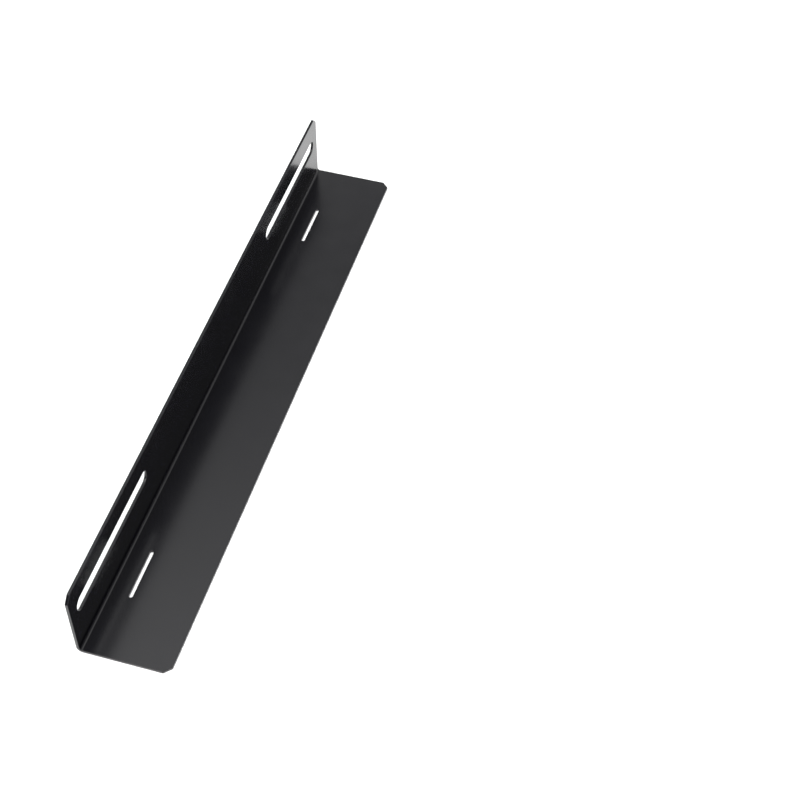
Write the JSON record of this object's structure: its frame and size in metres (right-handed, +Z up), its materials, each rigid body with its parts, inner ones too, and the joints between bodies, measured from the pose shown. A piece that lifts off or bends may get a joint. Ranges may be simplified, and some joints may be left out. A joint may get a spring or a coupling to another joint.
{
  "type": "fixed rack rail",
  "caption": "Fixed rack rail folded from steel sheet into an L: long slots in the upright bolt it to rack posts, and the shelf carries equipment and has narrow tie slots.",
  "frame": {"origin": "middle of the rail's footprint, on the plane of the shelf's underside", "axes": "+X from the upright out across the shelf, +Y along the rail, +Z up from the shelf"},
  "size_m": [0.046, 0.35, 0.0415],
  "materials": {
    "black_powder_coat": "smooth satin black powder coat on steel"
  },
  "bodies": {
    "root": {"rail": "black_powder_coat"}
  },
  "joints": []
}
